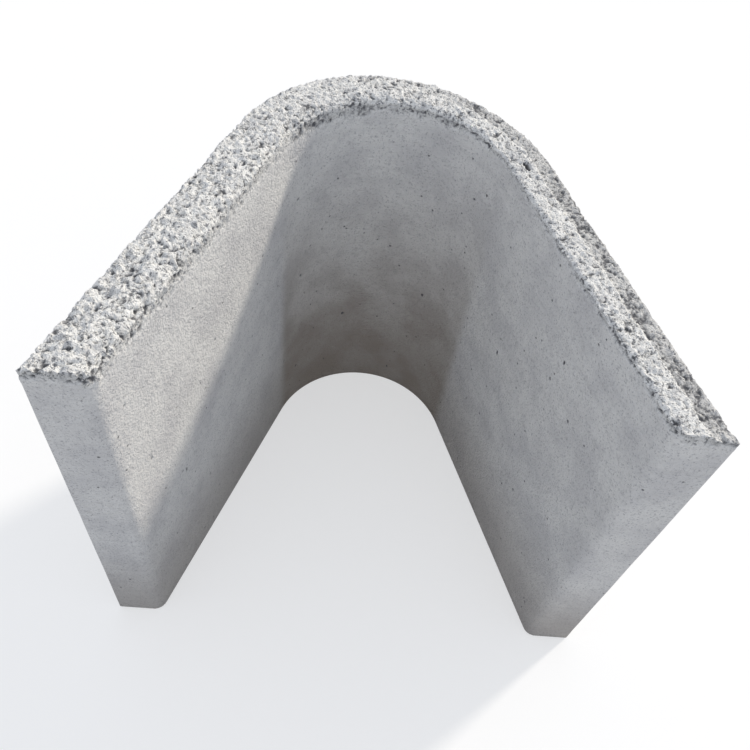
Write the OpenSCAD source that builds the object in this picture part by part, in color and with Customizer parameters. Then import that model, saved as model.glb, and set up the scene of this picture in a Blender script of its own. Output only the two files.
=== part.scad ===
// Precast concrete U-channel for open drains and irrigation ditches.
// It stands on one end, the way it is cast and stacked, with its open side to the front.
// Sizes are millimetres, +Z runs up along the channel, the floor of the channel is towards +Y.

/* [Channel] */
// Length of one channel, which is its height as it stands
channel_length = 500; // [300:10:1000]
// Thickness of the wall, the same all the way round
wall_thickness = 50; // [30:1:70]

/* [Water way] */
// Radius of the round floor inside
invert_radius = 125; // [90:1:160]
// Depth inside, from the plane of the leg tips to the round floor
inner_depth = 400; // [320:5:520]
// Angle by which each leg leans outward
flare_angle = 20; // [8:0.5:26]

/* [Edges] */
// Radius of the softened inner corner along each leg tip
tip_edge_radius = 15; // [5:0.5:22]

/* [Hidden] */
// Straight pieces in one full turn of a round outline
round_steps = 180;
// Y of the centre of the round floor, with the whole channel centred front to back
invert_centre_y = (inner_depth - wall_thickness) / 2 - invert_radius;
// Distance from that centre forward to the plane that both leg tips end in
tip_distance = inner_depth - invert_radius;

// Half the width at the tip plane of a U whose round floor has the given radius
function half_mouth(radius) = (radius + tip_distance * sin(flare_angle)) / cos(flare_angle);

// A filled U around the centre of its round floor: the round, and the space between the legs
module filled_u(radius) {
    // the legs touch the round where they lean square to it
    root_x = radius * cos(flare_angle);
    root_y = radius * sin(flare_angle);
    mouth_x = half_mouth(radius);
    circle(r = radius, $fn = round_steps);
    polygon([
        [-mouth_x, -tip_distance], [mouth_x, -tip_distance],
        [root_x, root_y], [-root_x, root_y]
    ]);
}

// What is cut away to soften the inner corner of the right leg's tip
module tip_corner_waste() {
    // the corner is blunt by the flare, so the round meets both faces this far from it
    setback = tip_edge_radius * tan((90 - flare_angle) / 2);
    // the cut reaches as far again out into the air, so that it leaves no skin on the faces
    reach = 2 * tip_edge_radius;
    translate([half_mouth(invert_radius) + setback, tip_edge_radius - tip_distance])
        difference() {
            polygon([
                [0, 0], [-reach * cos(flare_angle), -reach * sin(flare_angle)],
                [-2 * setback, -reach], [0, -reach]
            ]);
            circle(r = tip_edge_radius, $fn = round_steps);
        }
}

// The whole casting
module channel() {
    color([0.66, 0.66, 0.67])
    translate([0, invert_centre_y])
    linear_extrude(height = channel_length)
    difference() {
        filled_u(invert_radius + wall_thickness);
        filled_u(invert_radius);
        tip_corner_waste();
        mirror([1, 0]) tip_corner_waste();
    }
}

channel();
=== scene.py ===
import random
from math import atan2, cos, pi, radians, sin, sqrt

import bmesh
import bpy
from mathutils import Matrix, Vector, noise


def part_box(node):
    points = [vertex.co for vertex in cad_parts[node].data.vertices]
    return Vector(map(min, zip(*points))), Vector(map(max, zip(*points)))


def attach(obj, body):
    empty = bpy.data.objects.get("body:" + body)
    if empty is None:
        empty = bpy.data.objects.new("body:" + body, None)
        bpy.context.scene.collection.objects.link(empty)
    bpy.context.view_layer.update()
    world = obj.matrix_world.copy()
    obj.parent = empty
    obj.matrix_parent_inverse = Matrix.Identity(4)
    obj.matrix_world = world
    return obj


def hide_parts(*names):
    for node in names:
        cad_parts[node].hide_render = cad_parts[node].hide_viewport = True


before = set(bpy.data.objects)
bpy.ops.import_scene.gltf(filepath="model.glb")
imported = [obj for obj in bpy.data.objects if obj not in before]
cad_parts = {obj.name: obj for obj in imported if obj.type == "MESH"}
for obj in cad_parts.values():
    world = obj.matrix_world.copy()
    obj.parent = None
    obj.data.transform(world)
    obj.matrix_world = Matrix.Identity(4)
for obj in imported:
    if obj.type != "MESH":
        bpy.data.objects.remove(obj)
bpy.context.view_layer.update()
low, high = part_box("channel")
mm = 0.001
print("frame loaded")


# ---- view
# The camera stands a little to the left of the mouth and looks down into the invert.
view = {
    "place": Vector((-0.05, -0.57, 0.985)),
    "turn": radians(5.5),     # to the right
    "down": radians(52.8),
    "roll": radians(9.5),
    "lens": 37.4,             # mm on a 36 mm sensor
}


def placeCamera(v):
    camera = bpy.data.cameras.new("viewCamera")
    camera.lens = v["lens"]
    camera.sensor_width = 36
    camera.clip_start = 0.01
    cameraObject = bpy.data.objects.new("viewCamera", camera)
    bpy.context.scene.collection.objects.link(cameraObject)
    aim = Matrix.Rotation(-v["turn"], 4, "Z") @ Matrix.Rotation(pi / 2 - v["down"], 4, "X")
    cameraObject.matrix_world = Matrix.Translation(v["place"]) @ aim @ Matrix.Rotation(v["roll"], 4, "Z")
    bpy.context.scene.camera = cameraObject


placeCamera(view)
print("camera placed")


# ---- small tools
def smoothStep(start, end, value):
    t = min(1, max(0, (value - start) / (end - start)))
    return t * t * (3 - 2 * t)


def mixNumbers(a, b, t):
    return a + (b - a) * t


def linearColour(hexColour):
    # sRGB hex to the linear numbers that shaders and lamps take
    channels = [int(hexColour[i:i + 2], 16) / 255 for i in (1, 3, 5)]
    return tuple(c / 12.92 if c <= 0.04045 else ((c + 0.055) / 1.055) ** 2.4 for c in channels) + (1,)


def addNode(tree, kind, settings=None, links=None):
    # settings are the node's own choices; a link is a value or another node's output
    node = tree.nodes.new(kind)
    for name, value in (settings or {}).items():
        setattr(node, name, value)
    for socket, value in (links or {}).items():
        if isinstance(value, bpy.types.NodeSocket):
            tree.links.new(value, node.inputs[socket])
        else:
            node.inputs[socket].default_value = value
    return node


# ---- the channel casting
# One dry-cast concrete U: a round invert with two flared legs, cast standing on end.
# Everything that isn't here is worked out from the frame's box.
channel = {
    "wall": 50 * mm,
    "flare": radians(20),
    "tipRound": 15 * mm,       # inner corner of each leg tip
    "arris": 2.2 * mm,         # worn edge of the tips' outer corners and the lower end
    "cell": 4.1 * mm,          # spacing of the mesh along the wall
    "ring": 12 * mm,           # spacing up the mould faces
    "crustDepth": 28 * mm,     # finely meshed zone below the upper end
    "crustCuts": 2,
    "sag": 0.3 * mm,           # slow waviness of the mould faces
}

# The upper end is struck off by hand: a crust of clumps and grains, uneven along the wall.
struckEnd = {
    "mean": 9 * mm,            # the crust's mean level under the highest grains
    "leftRise": 4 * mm,        # the left leg was struck off higher than the mean
    "rightFall": 6 * mm,       # and the right leg lower
    "step": 6 * mm,            # the outer half of the wall lies lower than the inner half
    "swellSize": 26 * mm,      # slow rise and fall
    "swell": 1.4 * mm,
    "clumpSize": 10 * mm,      # rounded clumps with creases between them
    "clumpHeight": 6.5 * mm,
    "lumpSize": 5.2 * mm,
    "lumpHeight": 3.0 * mm,
    "grainSize": 2.9 * mm,
    "grainHeight": 1.9 * mm,
    "pitSize": 5 * mm,
    "pitDepth": 2.2 * mm,
    "level": 1.9 * mm,         # mean of all that, taken off again
    "warpSize": 6 * mm,        # bends the noise so that no pit or clump is round
    "warp": 3 * mm,
    # how far the inner shoulder is melted and the crust runs down, at the left and the right
    "innerRound": (15 * mm, 5 * mm),
    "innerFade": (25 * mm, 8 * mm),
    "outerRound": 3.5 * mm,
    "outerFade": 11 * mm,
    "tipFade": 14 * mm,
    # a slot in the right rim: share of the way to the tip, share of the wall
    "slotPlace": (0.35, 0.35),
    "slotHalf": (8 * mm, 3.2 * mm),
    "slotDepth": 8 * mm,
    "rightShares": (-0.25, 0.35),   # where along the run the left rim's look turns into the right's
    "footWaves": (90, 320),         # a metre; they make the crust's lower edge ragged
    "footRagged": (5 * mm, 2 * mm),
    "upFacing": 0.6,                # a face whose normal rises more than this is the crust's top
    "sideFacing": 0.4,
    "headroom": 0.2 * mm,           # kept free under the frame's top
    "seed": 31,
}

# Air holes that the mould left on the inner faces. Most are scattered by a seed.
airHoles = {
    "count": 44,
    "seed": 7,
    "size": (2.0, 4.4),        # mm
    "runShare": 0.97,          # scattered over this share of the run
    "heightShare": (0.04, 0.88),
    "tallness": (0.8, 1.6),    # of the width
    "sunk": 0.65,              # of the width
    "passes": (2, 2),          # cuts of the mesh round each hole, pass by pass
    "finestEdge": 0.9 * mm,
    "skirtAcross": 3 * mm,     # how far round a hole the mesh is cut finer
    "skirtUp": 6 * mm,
    "reach": 1.4,              # no point further out than this many half widths moves
    "raggedness": 0.25,
    "raggedWaves": 700,        # a metre
    # three larger ones, listed one by one: share of the way from the invert's middle to a leg's tip
    # (right is positive), share of the height, width, tallness and depth in mm
    "tallSlotOnLeftLeg": (-0.8, 0.4, 4, 10, 3.5),
    "slotByRightRoot": (0.5, 0.55, 4, 9, 3),
    "scratchOnRightLeg": (0.7, 0.8, 3.5, 9, 2),
}

flare = channel["flare"]
top = high.z
depth = high.y - low.y
outerRadius = (high.x * cos(flare) - depth * sin(flare)) / (1 - sin(flare))
innerRadius = outerRadius - channel["wall"]
arcCentre = Vector((0, high.y - outerRadius, 0))
rootAngle = pi / 2 - flare                       # from the invert's middle to each leg
middleRadius = (innerRadius + outerRadius) / 2
arcRun = middleRadius * rootAngle
legRun = (arcCentre.y - low.y + middleRadius * sin(flare)) / cos(flare)
halfRun = arcRun + legRun


def placeInWall(co):
    # run along the wall from the invert's middle, distance from the inner face, and the
    # direction that points from the inner face to the outer one
    x, y = co.x, co.y - arcCentre.y
    side = 1 if x >= 0 else -1
    along = side * x * sin(flare) - y * cos(flare)
    if along > 0:
        outward = Vector((side * cos(flare), sin(flare), 0))
        return side * (arcRun + along), outward.x * x + outward.y * y - innerRadius, outward
    radius = sqrt(x * x + y * y)
    return atan2(x, y) * middleRadius, radius - innerRadius, Vector((x, y, 0)) / radius


def pointOnInnerFace(run, height):
    side = 1 if run >= 0 else -1
    if abs(run) <= arcRun:
        turn = run / middleRadius
        return arcCentre + Vector((sin(turn) * innerRadius, cos(turn) * innerRadius, height))
    root = arcCentre + Vector((side * cos(flare), sin(flare), 0)) * innerRadius
    return root + Vector((side * sin(flare), -cos(flare), 0)) * (abs(run) - arcRun) + Vector((0, 0, height))


def growSection(bm):
    # a row of points across the wall at the right leg's root, swept round the invert
    rightRoot = Vector((cos(flare), sin(flare), 0))
    first = bmesh.ops.create_vert(bm, co=arcCentre + rightRoot * innerRadius)["vert"][0]
    across = bmesh.ops.extrude_vert_indiv(bm, verts=[first])
    bmesh.ops.translate(bm, verts=across["verts"], vec=rightRoot * channel["wall"])
    cutsAcross = round(channel["wall"] / channel["cell"]) - 1
    bmesh.ops.subdivide_edges(bm, edges=across["edges"], cuts=cutsAcross)
    firstRow = bm.edges[:]
    swept = bmesh.ops.spin(bm, geom=bm.verts[:] + firstRow, cent=arcCentre, axis=(0, 0, 1),
                           angle=2 * rootAngle, steps=round(2 * arcRun / channel["cell"]))
    lastRow = [part for part in swept["geom_last"] if isinstance(part, bmesh.types.BMEdge)]
    # each end row is drawn out along its leg until it meets the tip's flat end
    for side, row in ((1, firstRow), (-1, lastRow)):
        drawn = bmesh.ops.extrude_edge_only(bm, edges=row)["geom"]
        ends = [part for part in drawn if isinstance(part, bmesh.types.BMVert)]
        legWay = Vector((side * sin(flare), -cos(flare), 0))
        for v in ends:
            v.co += legWay * ((v.co.y - low.y) / cos(flare))
        longEdges = [e for v in ends for e in v.link_edges if e.calc_length() > 0.1]
        bmesh.ops.subdivide_edges(bm, edges=longEdges, cuts=round(legRun / channel["cell"]) - 1,
                                  use_grid_fill=True)


def roundTipCorners(bm):
    # points outside the round at each tip's inner corner are drawn in onto it
    roundRadius = channel["tipRound"]
    cornerX = (innerRadius + (arcCentre.y - low.y) * sin(flare)) / cos(flare)
    halfCorner = (pi / 2 + flare) / 2
    reach = roundRadius / sin(halfCorner)
    for side in (-1, 1):
        corner = Vector((side * cornerX, low.y, 0))
        inWay = Vector((side * cos(halfCorner), sin(halfCorner), 0))
        middle = corner + inWay * reach
        tangent = roundRadius * cos(halfCorner) / sin(halfCorner)
        for v in bm.verts:
            if (v.co - corner).length > tangent:
                continue
            away = v.co - middle
            if away.length > roundRadius:
                v.co = middle + away.normalized() * roundRadius


def raiseWall(bm):
    raised = bmesh.ops.extrude_face_region(bm, geom=bm.faces[:])["geom"]
    bmesh.ops.translate(bm, verts=[part for part in raised if isinstance(part, bmesh.types.BMVert)],
                        vec=(0, 0, top))
    bmesh.ops.recalc_face_normals(bm, faces=bm.faces[:])
    # worn arrises: the lower end's outline and the tips' outer corners
    worn = []
    for e in bm.edges:
        a, b = (v.co for v in e.verts)
        isLowerOutline = a.z < mm and b.z < mm and e.calc_face_angle(0) > 1
        isTipCorner = abs(a.z - b.z) > 0.1 and abs(a.x) > high.x - mm and a.y < low.y + mm
        if isLowerOutline or isTipCorner:
            worn.append(e)
    bmesh.ops.bevel(bm, geom=worn, offset=channel["arris"], offset_type="OFFSET", segments=2,
                    profile=0.5, affect="EDGES", material=-1)
    crustFoot = top - channel["crustDepth"]
    bmesh.ops.bisect_plane(bm, geom=bm.verts[:] + bm.edges[:] + bm.faces[:],
                           plane_co=(0, 0, crustFoot), plane_no=(0, 0, 1))
    for isCrust in (False, True):
        tall = [e for e in bm.edges
                if abs(e.verts[0].co.z - e.verts[1].co.z) > 20 * mm
                and (max(v.co.z for v in e.verts) > crustFoot + mm) == isCrust]
        span = channel["crustDepth"] if isCrust else crustFoot
        spacing = channel["cell"] if isCrust else channel["ring"]
        bmesh.ops.subdivide_edges(bm, edges=tall, cuts=round(span / spacing) - 1, use_grid_fill=True)
    crustFaces = [f for f in bm.faces if min(v.co.z for v in f.verts) > crustFoot - 0.1 * mm]
    crustEdges = list({e: None for f in crustFaces for e in f.edges})
    bmesh.ops.subdivide_edges(bm, edges=crustEdges, cuts=channel["crustCuts"], use_grid_fill=True)


def spotsOfHoles():
    # run, height, width, tallness and depth of each hole, in metres
    holes = []
    for name in ("tallSlotOnLeftLeg", "slotByRightRoot", "scratchOnRightLeg"):
        runShare, heightShare, width, tall, sunk = airHoles[name]
        holes.append((runShare * halfRun, heightShare * top, width * mm, tall * mm, sunk * mm))
    pick = random.Random(airHoles["seed"])
    smallest, largest = airHoles["size"]
    for _ in range(airHoles["count"]):
        run = pick.uniform(-airHoles["runShare"], airHoles["runShare"]) * halfRun
        height = pick.uniform(*airHoles["heightShare"]) * top
        size = pick.uniform(smallest, largest) * mm
        tall = size * pick.uniform(*airHoles["tallness"])
        holes.append((run, height, size, tall, size * airHoles["sunk"]))
    return holes


def sinkHoles(bm, hollowShadeLayer):
    holes = [(pointOnInnerFace(run, height), width / 2, tall / 2, sunk)
             for run, height, width, tall, sunk in spotsOfHoles()]
    for cuts in airHoles["passes"]:
        # the mesh round each hole is cut finer
        near = []
        for e in bm.edges:
            middle = (e.verts[0].co + e.verts[1].co) / 2
            if e.calc_length() < airHoles["finestEdge"] or middle.z > top - channel["crustDepth"] - mm:
                continue
            for spot, width, tall, sunk in holes:
                isLevel = abs(middle.z - spot.z) < tall + airHoles["skirtUp"]
                if isLevel and (middle.xy - spot.xy).length < width + airHoles["skirtAcross"]:
                    near.append(e)
                    break
        bmesh.ops.subdivide_edges(bm, edges=near, cuts=cuts, use_grid_fill=True)
    for v in bm.verts:
        for spot, width, tall, sunk in holes:
            if abs(v.co.z - spot.z) > tall * airHoles["reach"]:
                continue
            off = v.co.xy - spot.xy
            if off.length > width * airHoles["reach"]:
                continue
            run, inFrom, outward = placeInWall(v.co)
            ragged = 1 + airHoles["raggedness"] * noise.noise(v.co * airHoles["raggedWaves"])
            away = sqrt((off.length / width) ** 2 + ((v.co.z - spot.z) / tall) ** 2) * ragged
            if away < 1.15:
                bowl = 1 - smoothStep(0.35, 1.1, away)
                v.co += outward * (sunk * bowl)
                # painted shade: the hole's bowl is marked to be darkened
                v[hollowShadeLayer] = max(v[hollowShadeLayer], bowl)


def shareToRight(run):
    return smoothStep(*struckEnd["rightShares"], run / halfRun)


def unevenness(run):
    acrossInvert = smoothStep(-0.15, 0.35, run / halfRun)
    return mixNumbers(struckEnd["leftRise"], -struckEnd["rightFall"], acrossInvert)


def strikeOff(bm):
    # brings the upper end to its uneven level and melts its shoulders
    wall = channel["wall"]
    for v in bm.verts:
        if v.co.z < 0.6 * top:
            continue
        run, inFrom, outward = placeInWall(v.co)
        toRight = shareToRight(run)
        below = top - v.co.z
        flat = Vector((v.co.x, v.co.y, 0))
        wander = noise.noise(flat * 45) * 3 * mm
        stepHere = mixNumbers(0.25, 1, toRight) * struckEnd["step"]
        stepDown = stepHere * smoothStep(0.5 * wall, 0.62 * wall, inFrom + wander)
        innerRound = mixNumbers(*struckEnd["innerRound"], toRight)
        innerRound *= 1 + 0.35 * noise.noise(flat * 60 + Vector((3, 0, 0)))
        outerRound = struckEnd["outerRound"] * (1 + 0.5 * noise.noise(flat * 70 + Vector((9, 0, 0))))
        for roundness, fromFace, way in ((innerRound, inFrom, 1), (outerRound, wall - inFrom, -1)):
            acrossPart = roundness - fromFace
            downPart = roundness - below
            if acrossPart > 0 and downPart > 0:
                pull = max(acrossPart, downPart) / sqrt(acrossPart ** 2 + downPart ** 2)
                v.co += outward * (way * (1 - pull) * acrossPart)
                v.co.z -= (1 - pull) * downPart
        drop = struckEnd["mean"] - unevenness(run) + stepDown
        v.co.z -= drop * smoothStep(0.6 * top, top, top - below) ** 0.5 if below > 0 else drop


def slotSink(run, inFrom):
    # depth of the slot in the right rim at a place on the crust
    share, wallShare = struckEnd["slotPlace"]
    halfLength, halfWidth = struckEnd["slotHalf"]
    alongPart = (run - share * halfRun) / halfLength
    acrossPart = (inFrom - wallShare * channel["wall"]) / halfWidth
    away = sqrt(alongPart ** 2 + acrossPart ** 2)
    return struckEnd["slotDepth"] * (1 - smoothStep(0.4, 1.1, away))


def crustHeight(co, run):
    # height of the crust over its mean level: folded noise makes clumps with creases between
    shift = Vector((struckEnd["seed"], 0, 0))
    share = run / halfRun
    clumpy = mixNumbers(1, 0.4, smoothStep(-0.85, -0.15, share))
    co = co + noise.noise_vector(co / struckEnd["warpSize"]) * struckEnd["warp"]
    folds = 0
    for name, amount in (("clump", clumpy), ("lump", mixNumbers(0.65, 1, clumpy)), ("grain", 1)):
        fold = abs(noise.noise(co / struckEnd[name + "Size"] + shift))
        folds += fold * struckEnd[name + "Height"] * amount
    pit = smoothStep(0.2, 0.55, noise.noise(co / struckEnd["pitSize"] + shift * 2))
    swell = noise.noise(co / struckEnd["swellSize"] + shift) * struckEnd["swell"]
    pitHere = pit * struckEnd["pitDepth"] * mixNumbers(0.55, 1, clumpy)
    return swell + folds - pitHere - struckEnd["level"] * mixNumbers(0.62, 1, clumpy)


def roughenCrust(bm, struckLayer, hollowShadeLayer, invertLayer):
    bm.normal_update()
    wall = channel["wall"]
    moves = []
    for v in bm.verts:
        run, inFrom, outward = placeInWall(v.co)
        toRight = shareToRight(run)
        isInner = inFrom < 0.35 * wall
        level = top - struckEnd["mean"] + unevenness(run)
        below = level - v.co.z
        if isInner:
            v[invertLayer] = 1 - smoothStep(0.9 * arcRun, 1.06 * arcRun, abs(run))
        if below > 60 * mm:
            v[struckLayer] = 0
        else:
            ragged = sum(noise.noise(v.co * waves) * amount
                         for waves, amount in zip(struckEnd["footWaves"], struckEnd["footRagged"]))
            fade = mixNumbers(*struckEnd["innerFade"], toRight) if isInner else struckEnd["outerFade"]
            if v.co.y < low.y + mm:
                fade = struckEnd["tipFade"]
            weight = 1 - smoothStep(fade * 0.4, fade * 1.25, below + ragged)
            if v.normal.z > struckEnd["upFacing"]:
                weight = 1
            v[struckLayer] = weight
            if weight > 0:
                height = crustHeight(v.co, run)
                if v.normal.z > struckEnd["upFacing"]:
                    height -= slotSink(run, inFrom)
                isSide = v.normal.z < struckEnd["sideFacing"]
                lift = height * 0.8 - 0.8 * mm if isSide else height
                move = v.normal * (lift * weight)
                # the mould kept the outer face and the tips true, so the crust doesn't spill there
                spill = move.dot(outward)
                if inFrom > 0.5 * wall and spill > 0:
                    move -= outward * spill
                if v.co.y < low.y + 6 * mm:
                    move.y = max(0, move.y)
                moves.append((v, move))
                outerHalf = toRight * smoothStep(0.5 * wall, 0.66 * wall, inFrom)
                # painted shade: the crust's hollows, its outer half and the faces under its edge are
                # darkened, greyer than the inner half's top
                paintedShade = weight * (smoothStep(0, 3 * mm, -height) + 0.3 * outerHalf + 0.26 * isSide)
                v[hollowShadeLayer] = max(v[hollowShadeLayer], min(1, paintedShade))
                continue
        slow = noise.noise(v.co / (70 * mm)) - 0.6
        if 0.02 < v.co.z:
            moves.append((v, v.normal * (slow * channel["sag"])))
    for v, move in moves:
        v.co += move
    # nothing reaches past the frame's box
    for v in bm.verts:
        v.co.x = max(low.x, min(high.x, v.co.x))
        v.co.y = max(low.y, min(high.y, v.co.y))
        v.co.z = max(low.z, min(high.z - struckEnd["headroom"], v.co.z))


def makeChannelCasting():
    noise.seed_set(struckEnd["seed"])   # noise_vector starts from the clock without it
    bm = bmesh.new()
    growSection(bm)
    roundTipCorners(bm)
    raiseWall(bm)
    print("casting blocked out:", len(bm.faces), "faces")
    struckLayer = bm.verts.layers.float.new("struckEnd")
    # marks painted shade in holes, in the crust's hollows, on its outer half and under its edge
    hollowShadeLayer = bm.verts.layers.float.new("hollowShade")
    invertLayer = bm.verts.layers.float.new("invert")
    sinkHoles(bm, hollowShadeLayer)
    strikeOff(bm)
    roughenCrust(bm, struckLayer, hollowShadeLayer, invertLayer)
    bmesh.ops.recalc_face_normals(bm, faces=bm.faces[:])
    openEdges = sum(1 for e in bm.edges if len(e.link_faces) != 2)
    triangles = sum(len(f.verts) - 2 for f in bm.faces)
    print("casting finished:", triangles, "triangles,", openEdges, "open edges")
    mesh = bpy.data.meshes.new("channelCasting")
    bm.to_mesh(mesh)
    bm.free()
    mesh.shade_smooth()
    piece = bpy.data.objects.new("channelCasting", mesh)
    bpy.context.scene.collection.objects.link(piece)
    return piece


# ---- dry-cast concrete
# Stiff cement and sand vibrated in a steel mould: dull, pale grey mould faces with a sandy
# grain, tonal patches and air holes, and a whiter, broken crust where the end was struck off.
concrete = {
    "mouldFace": "#dad9d6",
    "mouldPatch": "#cbcac9",
    "stainAndShade": "#8d8378",
    # brown of the invert's stain, also used for painted shade low down
    "sandDark": "#8f8f92",
    "crust": "#f0efeb",
    "crustGrey": "#b9babc",
    # painted shade of the crust's pits
    "crustPitShade": "#6e6f73",
    # dark of the painted shade in holes and in the crust's hollows
    "hollowShadeDark": "#55565a",
    "roughness": 0.9,
    "ior": 1.5,
    "patchSize": 60 * mm,
    "streakSize": 14 * mm,
    "bandSize": 9 * mm,
    "fleckSize": 7 * mm,
    "crustPatchSize": 16 * mm,
    "crustGapSize": 3.2 * mm,
    "sandSize": 2.2 * mm,      # real sand is 0.5 to 2 mm; drawn this coarse so that it shows
    "pinholeSpacing": 15 * mm,
    "pinholeSize": 0.10,       # share of the spacing
}


def makeConcrete(c):
    material = bpy.data.materials.new("dryCastConcrete")
    material.use_nodes = True
    tree = material.node_tree
    tree.nodes.clear()
    place = addNode(tree, "ShaderNodeTexCoord").outputs["Object"]
    struck = addNode(tree, "ShaderNodeAttribute", {"attribute_name": "struckEnd"}).outputs["Fac"]
    hollowShade = addNode(tree, "ShaderNodeAttribute", {"attribute_name": "hollowShade"}).outputs["Fac"]
    invert = addNode(tree, "ShaderNodeAttribute", {"attribute_name": "invert"}).outputs["Fac"]

    def clouds(size, stretch=(1, 1, 1), detail=3, rough=0.55):
        turned = addNode(tree, "ShaderNodeMapping", None, {"Vector": place, "Scale": stretch})
        return addNode(tree, "ShaderNodeTexNoise", None, {
            "Vector": turned.outputs["Vector"], "Scale": 1 / size, "Detail": detail, "Roughness": rough,
        }).outputs["Fac"]

    def ramp(value, start, end, lowest=0.0, highest=1.0):
        return addNode(tree, "ShaderNodeMapRange", {"interpolation_type": "SMOOTHSTEP"}, {
            "Value": value, "From Min": start, "From Max": end, "To Min": lowest, "To Max": highest,
        }).outputs["Result"]

    def calc(operation, a, b):
        return addNode(tree, "ShaderNodeMath", {"operation": operation}, {0: a, 1: b}).outputs["Value"]

    def blendColours(amount, a, b, mode="MIX"):
        node = addNode(tree, "ShaderNodeMix", {"data_type": "RGBA", "blend_type": mode}, {
            "Factor": amount, 6: a if isinstance(a, bpy.types.NodeSocket) else linearColour(a),
            7: b if isinstance(b, bpy.types.NodeSocket) else linearColour(b),
        })
        return node.outputs[2]

    height = addNode(tree, "ShaderNodeSeparateXYZ", None, {"Vector": place}).outputs["Z"]
    patches = clouds(c["patchSize"], detail=5)
    streaks = clouds(c["streakSize"], (1, 1, 0.1), 5, 0.65)
    bands = clouds(c["bandSize"], (0.04, 0.04, 1), 3)
    sand = clouds(c["sandSize"], detail=2, rough=0.7)
    grit = addNode(tree, "ShaderNodeTexVoronoi", None, {"Vector": place, "Scale": 1 / c["sandSize"]})
    pinholes = addNode(tree, "ShaderNodeTexVoronoi", None, {
        "Vector": place, "Scale": 1 / c["pinholeSpacing"], "Randomness": 1.0,
    })

    # mould faces: patches, vertical streaks, faint level bands, dark sand grains
    colour = blendColours(ramp(patches, 0.38, 0.66), c["mouldFace"], c["mouldPatch"])
    colour = blendColours(ramp(streaks, 0.45, 0.75, 0, 0.3), colour, c["mouldPatch"])
    colour = blendColours(ramp(bands, 0.5, 0.8, 0, 0.14), colour, c["sandDark"])
    flecks = clouds(c["fleckSize"], detail=4, rough=0.7)
    colour = blendColours(ramp(flecks, 0.5, 0.72, 0, 0.3), colour, c["sandDark"])
    colour = blendColours(ramp(sand, 0.54, 0.7, 0, 0.7), colour, c["sandDark"])

    # brown damp stain low in the invert, partly painted shade that deepens further down, broken up by the
    # patches
    lowDown = ramp(height, 0.93 * top, 0.12 * top)
    stainAndShade = calc("MULTIPLY", calc("MULTIPLY", lowDown, invert), ramp(patches, 0.25, 0.7, 0.65, 1))
    colour = blendColours(calc("MULTIPLY", stainAndShade, 0.9), colour, c["stainAndShade"])
    # painted shade: the faces are browned and darkened towards the ground
    paintedShadeLow = ramp(height, 0.42 * top, 0, 0, 0.55)   # darker towards the ground
    colour = blendColours(paintedShadeLow, colour, c["stainAndShade"])

    # pinholes 2 to 3 mm across, only in some of the cells, painted dark as their shade; real ones are often
    # finer
    cellPick = addNode(tree, "ShaderNodeSeparateColor", None, {"Color": pinholes.outputs["Color"]})
    isHere = ramp(cellPick.outputs["Red"], 0.6, 0.66)
    dot = ramp(pinholes.outputs["Distance"], c["pinholeSize"], c["pinholeSize"] * 0.55)
    pin = calc("MULTIPLY", dot, isHere)
    # painted shade: the pinholes are darkened
    colour = blendColours(calc("MULTIPLY", pin, 0.8), colour, c["hollowShadeDark"])

    # struck crust: whiter on its grains, greyer in patches, dark with painted shade in its hollows
    crustPatches = clouds(c["crustPatchSize"], detail=5, rough=0.7)
    crustTone = blendColours(ramp(crustPatches, 0.45, 0.7, 0, 0.6), c["crust"], c["crustGrey"])
    # painted shade: dark spots stand for the shade in the crust's pits
    crustPitShades = clouds(c["crustGapSize"], detail=3, rough=0.75)
    crustTone = blendColours(ramp(crustPitShades, 0.5, 0.64, 0, 0.9), crustTone, c["crustPitShade"])
    colour = blendColours(struck, colour, crustTone)
    # painted shade: holes, the crust's hollows, its outer half and the faces under its edge are darkened
    colour = blendColours(ramp(hollowShade, 0.05, 0.75, 0, 0.9), colour, c["hollowShadeDark"])

    # relief: sandy grain everywhere, pinholes sunk, more bite on the crust
    relief = calc("MULTIPLY", sand, ramp(struck, 0, 1, 0.5, 1.6))
    relief = calc("ADD", relief, calc("MULTIPLY", clouds(6 * mm, detail=3), 0.9))
    relief = calc("SUBTRACT", relief, calc("MULTIPLY", pin, 1.4))
    relief = calc("ADD", relief, calc("MULTIPLY", grit.outputs["Distance"], -0.35))
    bump = addNode(tree, "ShaderNodeBump", None, {
        "Height": relief, "Distance": 2.2 * mm, "Strength": 0.85,
    })
    shader = addNode(tree, "ShaderNodeBsdfPrincipled", None, {
        "Base Color": colour, "Normal": bump.outputs["Normal"],
        "Roughness": c["roughness"], "IOR": c["ior"],
    })
    addNode(tree, "ShaderNodeOutputMaterial", None, {"Surface": shader.outputs["BSDF"]})
    return material


casting = makeChannelCasting()
casting.data.materials.append(makeConcrete(concrete))
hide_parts("channel")
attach(casting, "root")
print("channel finished")


# ---- floor and light
studio = {
    "floor": "#c9c9c8",
    "floorWhite": 0.55,        # share of plain white in the floor as the camera sees it
    "floorSeen": "#f4f4f3",
    "floorHalf": 6,
    "sky": "#e8eefa",
    "skyStrength": 0.84,
    "key": "#fff6e8",
    "keyStrength": 2.7,
    "keyTurn": radians(50),    # from straight behind, to the right
    "keyHeight": radians(30.5),
    "keySoftness": radians(6),
}


def seenDirectly(tree):
    # 1 where the camera, a reflection or a refraction sees the stage, 0 where it lights the object
    path = addNode(tree, "ShaderNodeLightPath").outputs
    seen = path["Is Camera Ray"]
    for ray in ("Is Glossy Ray", "Is Transmission Ray"):
        seen = addNode(tree, "ShaderNodeMath", {"operation": "ADD", "use_clamp": True}, {
            0: seen, 1: path[ray],
        }).outputs["Value"]
    return seen


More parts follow.
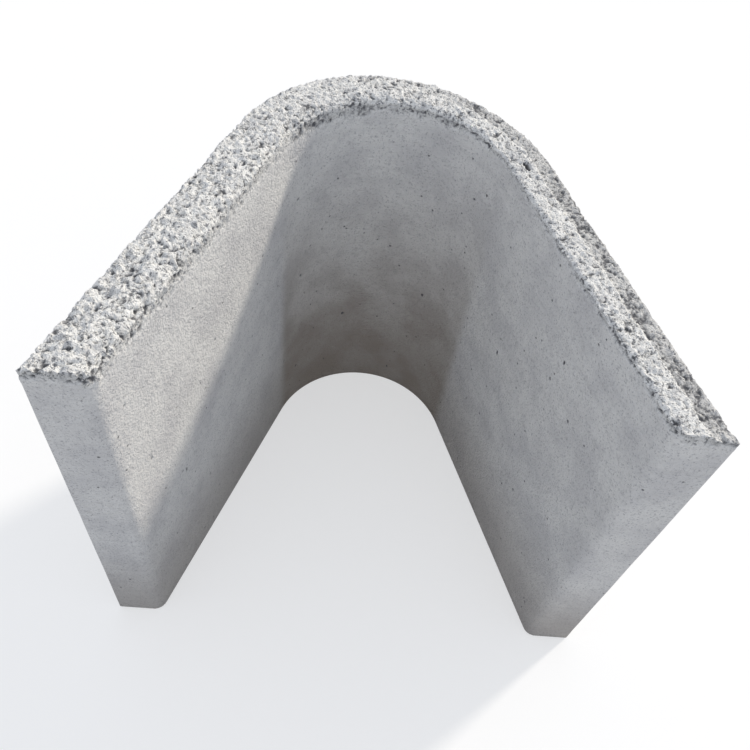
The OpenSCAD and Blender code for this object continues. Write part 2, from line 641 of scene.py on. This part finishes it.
def makeStudio(s):
    bm = bmesh.new()
    bmesh.ops.create_grid(bm, x_segments=1, y_segments=1, size=s["floorHalf"])
    mesh = bpy.data.meshes.new("studioFloor")
    bm.to_mesh(mesh)
    bm.free()
    floor = bpy.data.objects.new("studioFloor", mesh)
    bpy.context.scene.collection.objects.link(floor)
    material = bpy.data.materials.new("paleFloor")
    material.use_nodes = True
    tree = material.node_tree
    tree.nodes.clear()
    seen = seenDirectly(tree)
    tone = addNode(tree, "ShaderNodeMix", {"data_type": "RGBA"}, {
        "Factor": seen, 6: linearColour(s["floor"]), 7: linearColour(s["floorSeen"]),
    }).outputs[2]
    matt = addNode(tree, "ShaderNodeBsdfDiffuse", None, {"Color": tone})
    glow = addNode(tree, "ShaderNodeEmission", None, {"Color": (1, 1, 1, 1), "Strength": 1})
    share = addNode(tree, "ShaderNodeMath", {"operation": "MULTIPLY"}, {0: seen, 1: s["floorWhite"]})
    both = addNode(tree, "ShaderNodeMixShader", None, {
        0: share.outputs["Value"], 1: matt.outputs["BSDF"], 2: glow.outputs["Emission"],
    })
    addNode(tree, "ShaderNodeOutputMaterial", None, {"Surface": both.outputs["Shader"]})
    mesh.materials.append(material)

    world = bpy.data.worlds.new("studioWorld")
    bpy.context.scene.world = world
    world.use_nodes = True
    tree = world.node_tree
    tree.nodes.clear()
    fill = addNode(tree, "ShaderNodeBackground", None, {
        "Color": linearColour(s["sky"]), "Strength": s["skyStrength"],
    })
    white = addNode(tree, "ShaderNodeBackground", None, {"Color": (1, 1, 1, 1), "Strength": 1})
    both = addNode(tree, "ShaderNodeMixShader", None, {
        0: seenDirectly(tree), 1: fill.outputs["Background"], 2: white.outputs["Background"],
    })
    addNode(tree, "ShaderNodeOutputWorld", None, {"Surface": both.outputs["Shader"]})

    lamp = bpy.data.lights.new("keyLight", "SUN")
    lamp.energy = s["keyStrength"]
    lamp.color = linearColour(s["key"])[:3]
    lamp.angle = s["keySoftness"]
    key = bpy.data.objects.new("keyLight", lamp)
    bpy.context.scene.collection.objects.link(key)
    toKey = Vector((sin(s["keyTurn"]) * cos(s["keyHeight"]), cos(s["keyTurn"]) * cos(s["keyHeight"]),
                    sin(s["keyHeight"])))
    key.rotation_mode = "QUATERNION"
    key.rotation_quaternion = toKey.to_track_quat("Z", "Y")
    key.location = toKey * 2


makeStudio(studio)
bpy.context.scene.view_settings.view_transform = "Standard"
print("floor and light placed")
